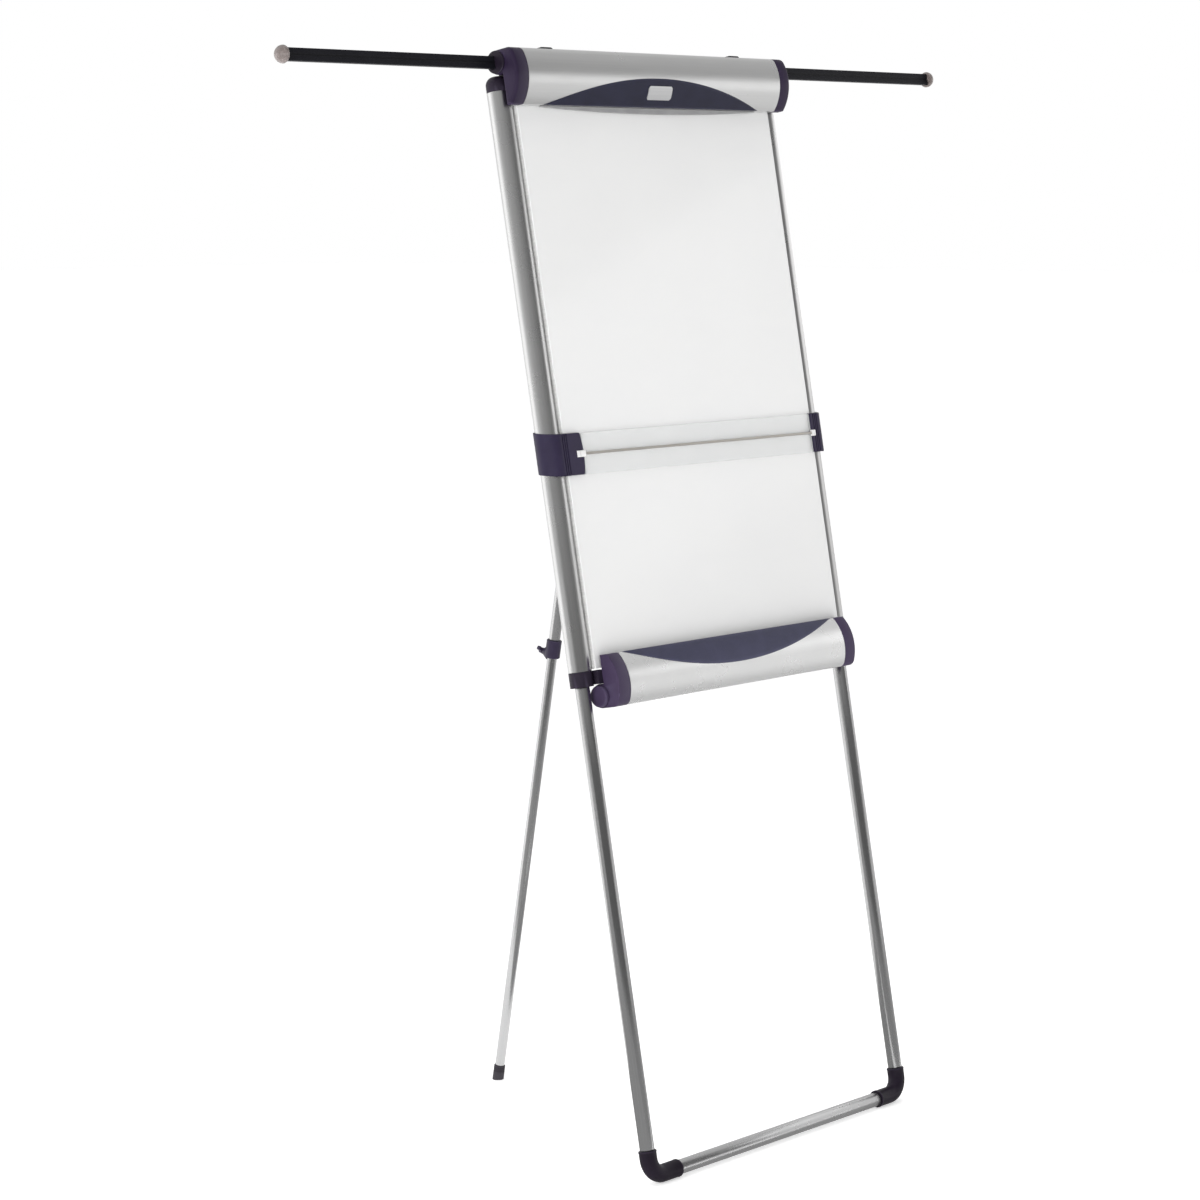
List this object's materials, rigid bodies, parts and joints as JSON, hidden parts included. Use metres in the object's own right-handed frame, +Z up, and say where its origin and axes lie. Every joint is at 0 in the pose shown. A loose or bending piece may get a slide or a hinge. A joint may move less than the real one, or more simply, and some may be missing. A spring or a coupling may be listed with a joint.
{
  "type": "flipchart easel",
  "caption": "Telescopic flipchart easel with a whiteboard, hinged pad clamp, pen tray, sliding rule, pull-out display arms and a folding rear leg.",
  "frame": {"origin": "middle of the footprint on the floor, under the middle of the overall box", "axes": "+X to the right seen from the front, +Y to the back, +Z up"},
  "size_m": [1.736, 0.6917, 1.8847],
  "materials": {
    "satin_aluminium": "satin anodised",
    "silver_shell": "satin silver",
    "plum_plastic": "moulded, fine grain",
    "navy_insert": "semi-gloss",
    "black_bar": "satin black",
    "whiteboard_enamel": "gloss white enamel",
    "board_core": "honeycomb core",
    "zinc_steel": "zinc plated",
    "rubber": "matt",
    "smoked_dome": "smoked translucent",
    "clear_acrylic": "clear",
    "white_clip": "smooth",
    "grey_lip": "matt"
  },
  "bodies": {
    "board_frame": {"rail_left": "satin_aluminium", "rail_right": "satin_aluminium", "rail_cap_left": "plum_plastic", "rail_cap_right": "plum_plastic", "leg_collar_left": "plum_plastic", "leg_collar_right": "plum_plastic", "top_crossbar": "satin_aluminium", "board_face_sheet": "whiteboard_enamel", "board_core": "board_core", "board_back_sheet": "whiteboard_enamel", "tray_shell": "silver_shell", "tray_insert": "navy_insert", "tray_cap_left": "plum_plastic", "tray_cap_right": "plum_plastic", "tray_plug_left": "plum_plastic", "tray_plug_right": "plum_plastic", "arm_channel": "satin_aluminium", "channel_bush_left": "plum_plastic", "channel_bush_right": "plum_plastic", "leg_hinge_bracket": "plum_plastic", "hinge_pin": "zinc_steel"},
    "header_clamp": {"header_shell": "silver_shell", "header_insert": "navy_insert", "header_cap_left": "plum_plastic", "header_cap_right": "plum_plastic", "clamp_lip": "grey_lip", "header_badge": "silver_shell"},
    "pad_hook_left": {"pad_hook_left": "black_bar"},
    "pad_hook_right": {"pad_hook_right": "black_bar"},
    "leg_frame": {"leg_tube_left": "satin_aluminium", "leg_tube_right": "satin_aluminium", "leg_elbow_left": "plum_plastic", "leg_elbow_right": "plum_plastic", "bottom_bar": "satin_aluminium", "leg_plug_left": "plum_plastic", "leg_plug_right": "plum_plastic"},
    "leg_clamp_left": {"leg_clamp_knob_left": "plum_plastic"},
    "leg_clamp_right": {"leg_clamp_knob_right": "plum_plastic"},
    "rear_leg_upper": {"rear_upper_tube": "satin_aluminium", "rear_knuckle": "plum_plastic", "rear_clamp": "plum_plastic"},
    "rear_leg_lower": {"rear_lower_tube": "satin_aluminium", "rear_tube_plug": "plum_plastic", "rear_foot": "rubber"},
    "rear_clamp_screw": {"rear_clamp_knob": "plum_plastic"},
    "arm_left": {"arm_bar_left": "black_bar", "arm_stop_left": "plum_plastic", "arm_tip_left": "smoked_dome"},
    "arm_right": {"arm_bar_right": "black_bar", "arm_stop_right": "plum_plastic", "arm_tip_right": "smoked_dome"},
    "rule_carriage": {"rule_plate": "clear_acrylic", "rule_rod": "zinc_steel", "rule_bracket_left": "plum_plastic", "rule_bracket_right": "plum_plastic", "rule_clip_left": "white_clip", "rule_clip_right": "white_clip"}
  },
  "joints": [
    {"name": "header_hinge", "type": "hinge", "parent": "board_frame", "child": "header_clamp", "pos_m": [0, -0.01733, 1.85766], "axis": [-1, 0, 0], "range_deg": [0, 60]},
    {"name": "pad_hook_left_slide", "type": "slide", "parent": "header_clamp", "child": "pad_hook_left", "axis": [1, 0, 0], "range_m": [-0.025, 0.04]},
    {"name": "pad_hook_right_slide", "type": "slide", "parent": "header_clamp", "child": "pad_hook_right", "axis": [-1, 0, 0], "range_m": [-0.025, 0.04]},
    {"name": "leg_height_slide", "type": "slide", "parent": "board_frame", "child": "leg_frame", "axis": [0, 0.1771, 0.9842], "range_m": [0, 0.7]},
    {"name": "leg_clamp_left_turn", "type": "hinge", "parent": "board_frame", "child": "leg_clamp_left", "pos_m": [-0.33844, -0.16679, 0.8375], "axis": [0.7071, 0.6959, -0.1252], "range_deg": [-180, 180]},
    {"name": "leg_clamp_right_turn", "type": "hinge", "parent": "board_frame", "child": "leg_clamp_right", "pos_m": [0.33844, -0.16679, 0.8375], "axis": [-0.7071, 0.6959, -0.1252], "range_deg": [-180, 180]},
    {"name": "rear_leg_hinge", "type": "hinge", "parent": "board_frame", "child": "rear_leg_upper", "pos_m": [0, 0.02225, 1.78398], "axis": [-1, 0, 0], "range_deg": [0, 20]},
    {"name": "rear_leg_slide", "type": "slide", "parent": "rear_leg_upper", "child": "rear_leg_lower", "axis": [0, -0.1728, 0.985], "range_m": [0, 0.7]},
    {"name": "rear_clamp_turn", "type": "hinge", "parent": "rear_leg_upper", "child": "rear_clamp_screw", "pos_m": [0, 0.21484, 0.81925], "axis": [0, 0.985, 0.1728], "range_deg": [-180, 180]},
    {"name": "arm_left_slide", "type": "slide", "parent": "board_frame", "child": "arm_left", "axis": [1, 0, 0], "range_m": [0, 0.478]},
    {"name": "arm_right_slide", "type": "slide", "parent": "board_frame", "child": "arm_right", "axis": [-1, 0, 0], "range_m": [0, 0.478]},
    {"name": "rule_slide", "type": "slide", "parent": "board_frame", "child": "rule_carriage", "axis": [0, 0.1771, 0.9842], "range_m": [-0.29, 0.52]}
  ]
}
